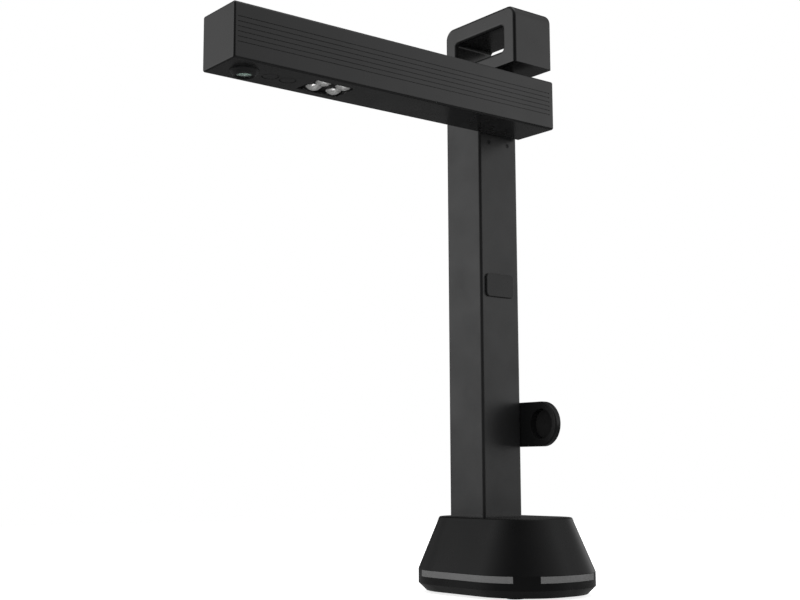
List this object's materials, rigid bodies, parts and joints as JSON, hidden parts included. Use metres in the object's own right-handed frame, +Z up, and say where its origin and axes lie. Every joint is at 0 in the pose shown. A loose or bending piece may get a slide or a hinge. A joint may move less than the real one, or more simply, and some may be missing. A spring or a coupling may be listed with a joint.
{
  "type": "overhead document scanner",
  "caption": "Overhead document scanner: a folding arm with a downward camera and lamps, on a square column with a carrying handle and a weighted base.",
  "frame": {"origin": "on the desk under the middle of the base", "axes": "+Z up, -Y the way the arm reaches over the desk, +X the side of the column that the arm hangs on"},
  "size_m": [0.1256, 0.2809, 0.3943],
  "materials": {
    "case_plastic": "satin moulded shell, near black",
    "column_coating": "charcoal anodised satin",
    "arm_coating": "satin charcoal coating on moulded shell",
    "trim_grey": "grey translucent strip",
    "foot_rubber": "black rubber",
    "pad_rubber": "charcoal rubber",
    "black_screw": "black oxide",
    "plain_steel": "zinc plated",
    "socket_steel": "nickel plated",
    "cast_alloy": "die cast",
    "circuit_board": "solder mask",
    "cable_jacket": "black jacket",
    "washer_plastic": "low friction plastic",
    "dock_plastic": "gloss black",
    "dock_felt": "black felt",
    "lens_black": "semi-gloss black",
    "lens_glass": "coated front element",
    "lamp_lens": "clear lamp lens",
    "lamp_tray_black": "semi-gloss black",
    "led_phosphor": "yellow phosphor"
  },
  "bodies": {
    "stand": {"base_shell": "case_plastic", "base_bottom_cover": "case_plastic", "base_feet": "foot_rubber", "base_screws": "black_screw", "counterweight": "plain_steel", "weight_screws": "black_screw", "main_board": "circuit_board", "main_board_screws": "black_screw", "usb_socket": "socket_steel", "column_foot": "cast_alloy", "column_foot_screws": "plain_steel", "column_tube": "column_coating", "column_screws": "black_screw", "column_cable": "cable_jacket", "handle_loop": "arm_coating", "handle_screws": "plain_steel", "hinge_bracket": "plain_steel", "bracket_screws": "black_screw", "hinge_shaft": "plain_steel", "gap_washer": "washer_plastic", "stop_pin": "plain_steel", "spring_washers": "plain_steel", "shaft_nut": "plain_steel", "bumper_pad": "pad_rubber", "lens_dock": "dock_plastic", "dock_pad": "dock_felt", "dock_screws": "black_screw", "trim_strip_front": "trim_grey", "trim_strip_right": "trim_grey", "trim_strip_left": "trim_grey"},
    "arm": {"arm_shell": "arm_coating", "arm_bottom_cover": "arm_coating", "arm_front_cap": "arm_coating", "arm_rear_cap": "arm_coating", "hinge_block": "cast_alloy", "hinge_block_screws": "plain_steel", "arm_cable": "cable_jacket", "lens_ring": "lens_black", "lens_barrel": "lens_black", "lens_glass": "lens_glass", "camera_housing": "lens_black", "camera_board": "circuit_board", "arm_board_screws": "black_screw", "key_switches": "dock_plastic", "key_board": "circuit_board", "lamp_tray": "lamp_tray_black", "lamp_domes": "lamp_lens", "led_chips": "led_phosphor", "lamp_board": "circuit_board"},
    "front_key": {"front_lamp_key": "arm_coating"},
    "rear_key": {"rear_lamp_key": "arm_coating"}
  },
  "joints": [
    {"name": "arm_fold", "type": "hinge", "parent": "stand", "child": "arm", "pos_m": [0, 0, 0.3286], "axis": [1, 0, 0], "range_deg": [0, 90]},
    {"name": "front_key_press", "type": "slide", "parent": "arm", "child": "front_key", "axis": [0, 0, 1], "range_m": [0, 0.0005], "stiffness_N_per_m": 600, "springref_m": -0.0005},
    {"name": "rear_key_press", "type": "slide", "parent": "arm", "child": "rear_key", "axis": [0, 0, 1], "range_m": [0, 0.0005], "stiffness_N_per_m": 600, "springref_m": -0.0005}
  ]
}
